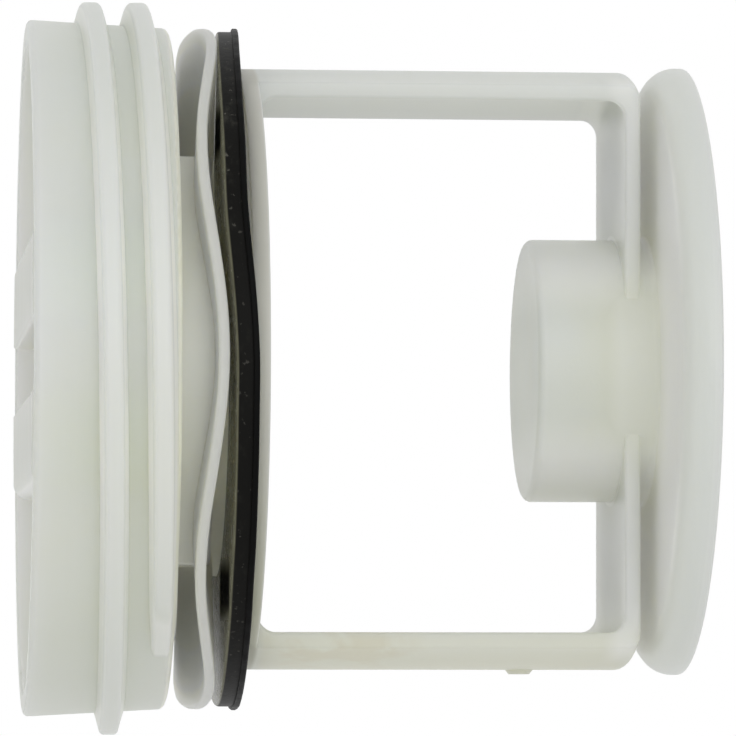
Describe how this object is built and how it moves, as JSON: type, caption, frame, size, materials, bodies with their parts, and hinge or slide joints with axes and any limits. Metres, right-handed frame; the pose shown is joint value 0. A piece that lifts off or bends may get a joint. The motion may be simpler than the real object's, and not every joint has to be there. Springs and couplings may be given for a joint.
{
  "type": "lint filter",
  "caption": "Screw-in drain-pump lint filter: threaded grip cap, wave flange and rubber seal ring, open loop frame with a hollow boss and a dished end disc.",
  "frame": {"origin": "on the screw axis, in the plane of the grip's front faces, which the filter stands on", "axes": "+Z along the screw axis from the cap to the end disc, +X towards the loop's arm with the gate stub, Y along the grip in the cap"},
  "size_m": [0.0676, 0.0676, 0.0612],
  "materials": {
    "milky_plastic": "milky satin polypropylene",
    "seal_rubber": "smooth black rubber"
  },
  "bodies": {
    "root": {"filter_body": "milky_plastic", "seal_ring": "seal_rubber"}
  },
  "joints": []
}
